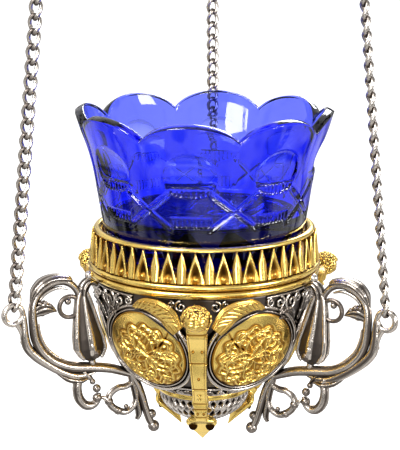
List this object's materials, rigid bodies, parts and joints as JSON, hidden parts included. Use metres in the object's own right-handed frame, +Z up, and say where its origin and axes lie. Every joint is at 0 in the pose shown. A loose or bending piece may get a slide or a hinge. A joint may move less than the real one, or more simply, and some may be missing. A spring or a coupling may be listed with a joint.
{
  "type": "sanctuary lamp",
  "caption": "Hanging vigil lamp: scalloped blue cut-glass cup in a gilt gallery on a silvered bowl with scroll arms, winged herms, medallions and chains",
  "frame": {"origin": "the point on the lamp's axis level with the middles of the three hanging eyes' height, where a ceiling hook would hold it; the gallery's rim is 108 mm below", "axes": "+Z up along the lamp's axis; -Y towards the front herm; +X to the viewer's right"},
  "size_m": [0.1494, 0.1501, 0.1975],
  "materials": {
    "gilt_brass": "polished gilding, toned in the recesses",
    "silvered_brass": "silver plated and antiqued, dark in the recesses",
    "blue_glass": "polished cobalt-blue cut glass",
    "chain_steel": "nickel-plated steel wire, lightly worn"
  },
  "bodies": {
    "lamp": {"gallery_rim": "gilt_brass", "gallery_petals": "gilt_brass", "gallery_moulding": "gilt_brass", "bowl_ring": "gilt_brass", "medallion_front_a": "gilt_brass", "medallion_front_b": "gilt_brass", "medallion_right_a": "gilt_brass", "medallion_right_b": "gilt_brass", "medallion_left_a": "gilt_brass", "medallion_left_b": "gilt_brass", "herm_front": "gilt_brass", "herm_right": "gilt_brass", "herm_left": "gilt_brass", "herm_rivets": "gilt_brass", "bowl_shell": "silvered_brass", "bottom_dome": "silvered_brass", "dome_bridge": "silvered_brass", "dome_screw": "silvered_brass", "medallion_frame_front_a": "silvered_brass", "medallion_frame_front_b": "silvered_brass", "medallion_frame_right_a": "silvered_brass", "medallion_frame_right_b": "silvered_brass", "medallion_frame_left_a": "silvered_brass", "medallion_frame_left_b": "silvered_brass", "arm_right": "silvered_brass", "arm_left": "silvered_brass", "arm_back": "silvered_brass", "arm_screws": "silvered_brass", "bud_right": "silvered_brass", "bud_left": "silvered_brass", "bud_back": "silvered_brass"},
    "cup": {"glass_cup": "blue_glass"},
    "chain_right_connector": {"chain_right_connector": "chain_steel"},
    "chain_right_lower": {"chain_right_lower": "chain_steel"},
    "chain_right_upper": {"chain_right_upper": "chain_steel"},
    "chain_right_eye": {"chain_right_eye": "chain_steel"},
    "chain_left_connector": {"chain_left_connector": "chain_steel"},
    "chain_left_lower": {"chain_left_lower": "chain_steel"},
    "chain_left_upper": {"chain_left_upper": "chain_steel"},
    "chain_left_eye": {"chain_left_eye": "chain_steel"},
    "chain_back_connector": {"chain_back_connector": "chain_steel"},
    "chain_back_lower": {"chain_back_lower": "chain_steel"},
    "chain_back_upper": {"chain_back_upper": "chain_steel"},
    "chain_back_eye": {"chain_back_eye": "chain_steel"}
  },
  "joints": [
    {"name": "cup_lift", "type": "slide", "parent": "lamp", "child": "cup", "axis": [0, 0, 1], "range_m": [0, 0.14]},
    {"name": "chain_right_foot", "type": "hinge", "parent": "lamp", "child": "chain_right_connector", "pos_m": [0.07032, -0.0406, -0.1352], "axis": [0.5, 0.866, 0], "range_deg": [0, 150]},
    {"name": "chain_right_low_bend", "type": "hinge", "parent": "chain_right_connector", "child": "chain_right_lower", "pos_m": [0.06953, -0.04015, -0.12655], "axis": [0.5, 0.866, 0], "range_deg": [0, 40]},
    {"name": "chain_right_mid_bend", "type": "hinge", "parent": "chain_right_lower", "child": "chain_right_upper", "pos_m": [0.06456, -0.03727, -0.07185], "axis": [0.5, 0.866, 0], "range_deg": [0, 40]},
    {"name": "chain_right_eye_swing", "type": "hinge", "parent": "chain_right_upper", "child": "chain_right_eye", "pos_m": [0.05858, -0.03382, -0.00621], "axis": [0.5, 0.866, 0], "range_deg": [0, 60]},
    {"name": "chain_left_foot", "type": "hinge", "parent": "lamp", "child": "chain_left_connector", "pos_m": [-0.07032, -0.0406, -0.1352], "axis": [0.5, -0.866, 0], "range_deg": [0, 150]},
    {"name": "chain_left_low_bend", "type": "hinge", "parent": "chain_left_connector", "child": "chain_left_lower", "pos_m": [-0.06953, -0.04015, -0.12655], "axis": [0.5, -0.866, 0], "range_deg": [0, 40]},
    {"name": "chain_left_mid_bend", "type": "hinge", "parent": "chain_left_lower", "child": "chain_left_upper", "pos_m": [-0.06456, -0.03727, -0.07185], "axis": [0.5, -0.866, 0], "range_deg": [0, 40]},
    {"name": "chain_left_eye_swing", "type": "hinge", "parent": "chain_left_upper", "child": "chain_left_eye", "pos_m": [-0.05858, -0.03382, -0.00621], "axis": [0.5, -0.866, 0], "range_deg": [0, 60]},
    {"name": "chain_back_foot", "type": "hinge", "parent": "lamp", "child": "chain_back_connector", "pos_m": [0, 0.0812, -0.1352], "axis": [-1, 0, 0], "range_deg": [0, 150]},
    {"name": "chain_back_low_bend", "type": "hinge", "parent": "chain_back_connector", "child": "chain_back_lower", "pos_m": [0, 0.08029, -0.12655], "axis": [-1, 0, 0], "range_deg": [0, 40]},
    {"name": "chain_back_mid_bend", "type": "hinge", "parent": "chain_back_lower", "child": "chain_back_upper", "pos_m": [0, 0.07454, -0.07185], "axis": [-1, 0, 0], "range_deg": [0, 40]},
    {"name": "chain_back_eye_swing", "type": "hinge", "parent": "chain_back_upper", "child": "chain_back_eye", "pos_m": [0, 0.06764, -0.00621], "axis": [-1, 0, 0], "range_deg": [0, 60]}
  ]
}
